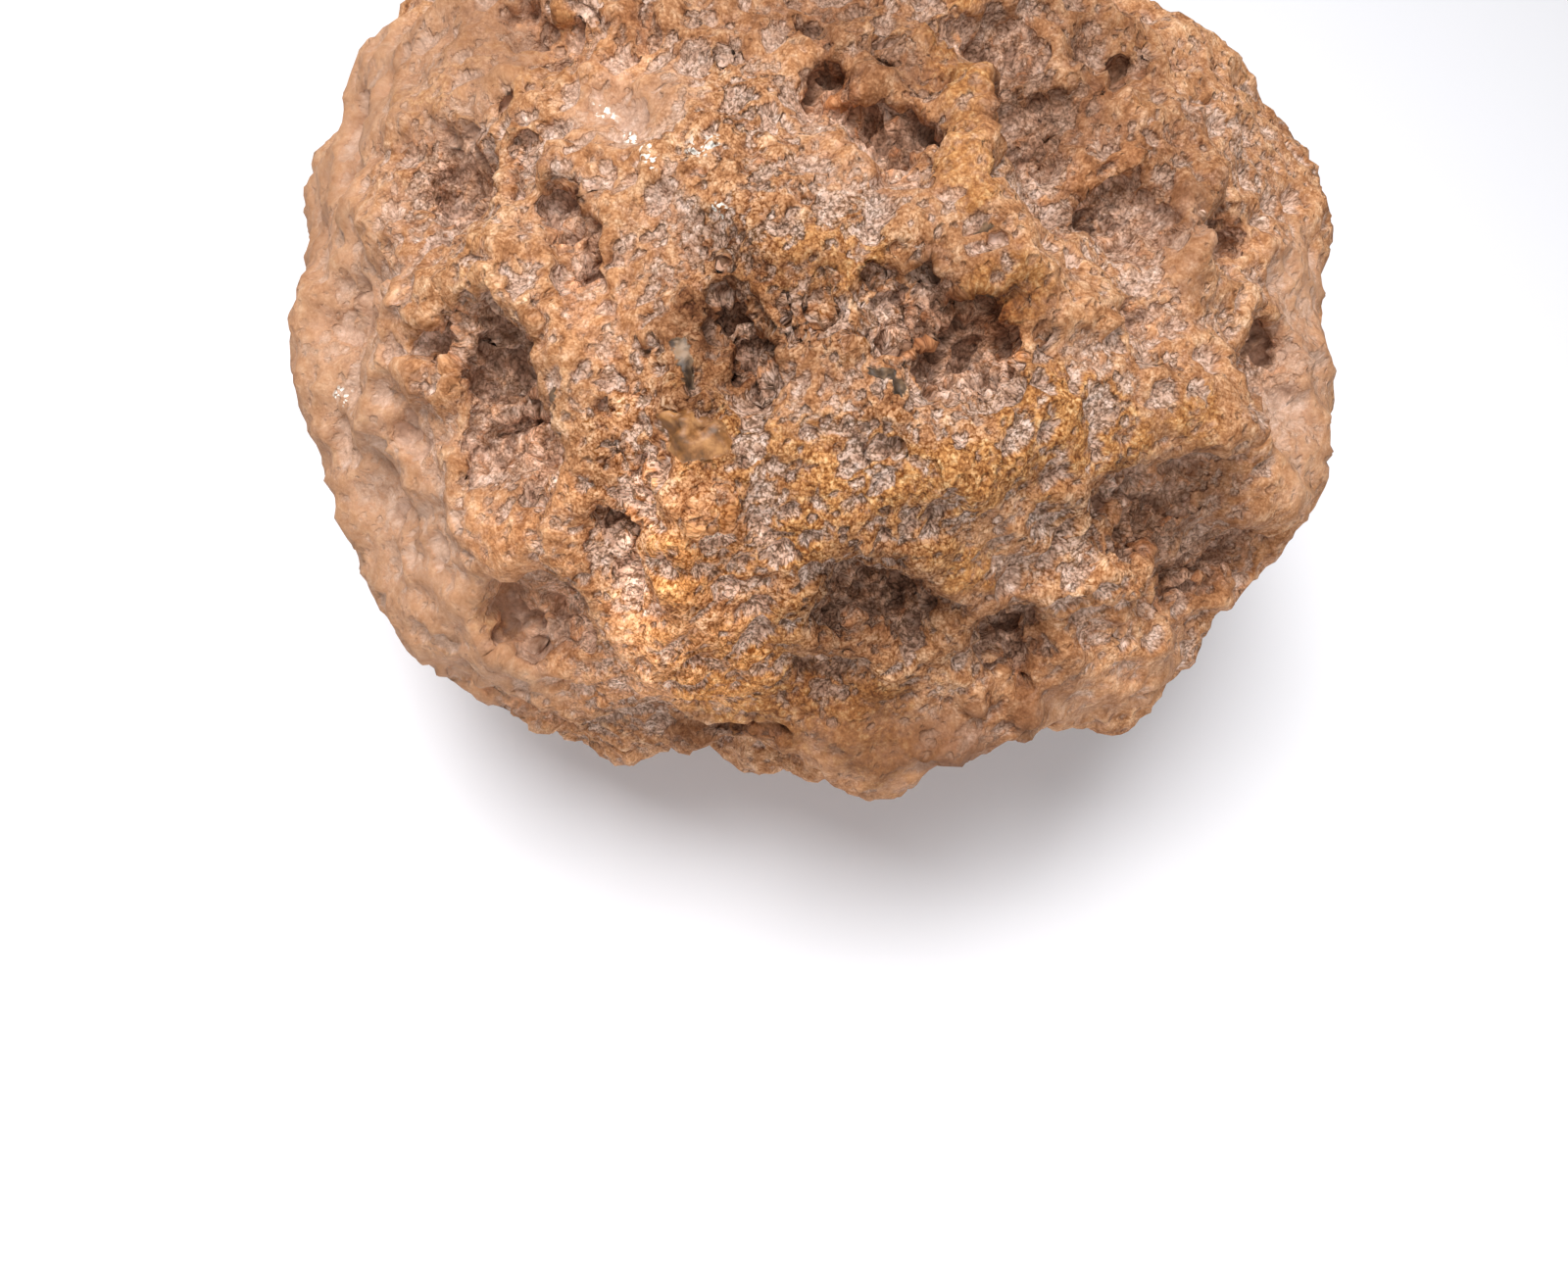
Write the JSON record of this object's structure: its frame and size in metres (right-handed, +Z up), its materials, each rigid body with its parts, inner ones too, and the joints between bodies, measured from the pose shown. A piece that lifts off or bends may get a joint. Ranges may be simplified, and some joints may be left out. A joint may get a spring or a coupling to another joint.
{
  "type": "unopened geode",
  "caption": "Rounded, unopened geode nodule with a pitted, ridged brown rind. The flat resting face underneath is assumed.",
  "frame": {"origin": "middle of the stone's base, on the surface that it rests on", "axes": "+Z up from the worn resting face, +X along the stone's longest side, -Y towards the pitted front"},
  "size_m": [0.198, 0.18, 0.139],
  "materials": {
    "rind": "matte"
  },
  "bodies": {
    "root": {"geode": "rind"}
  },
  "joints": []
}
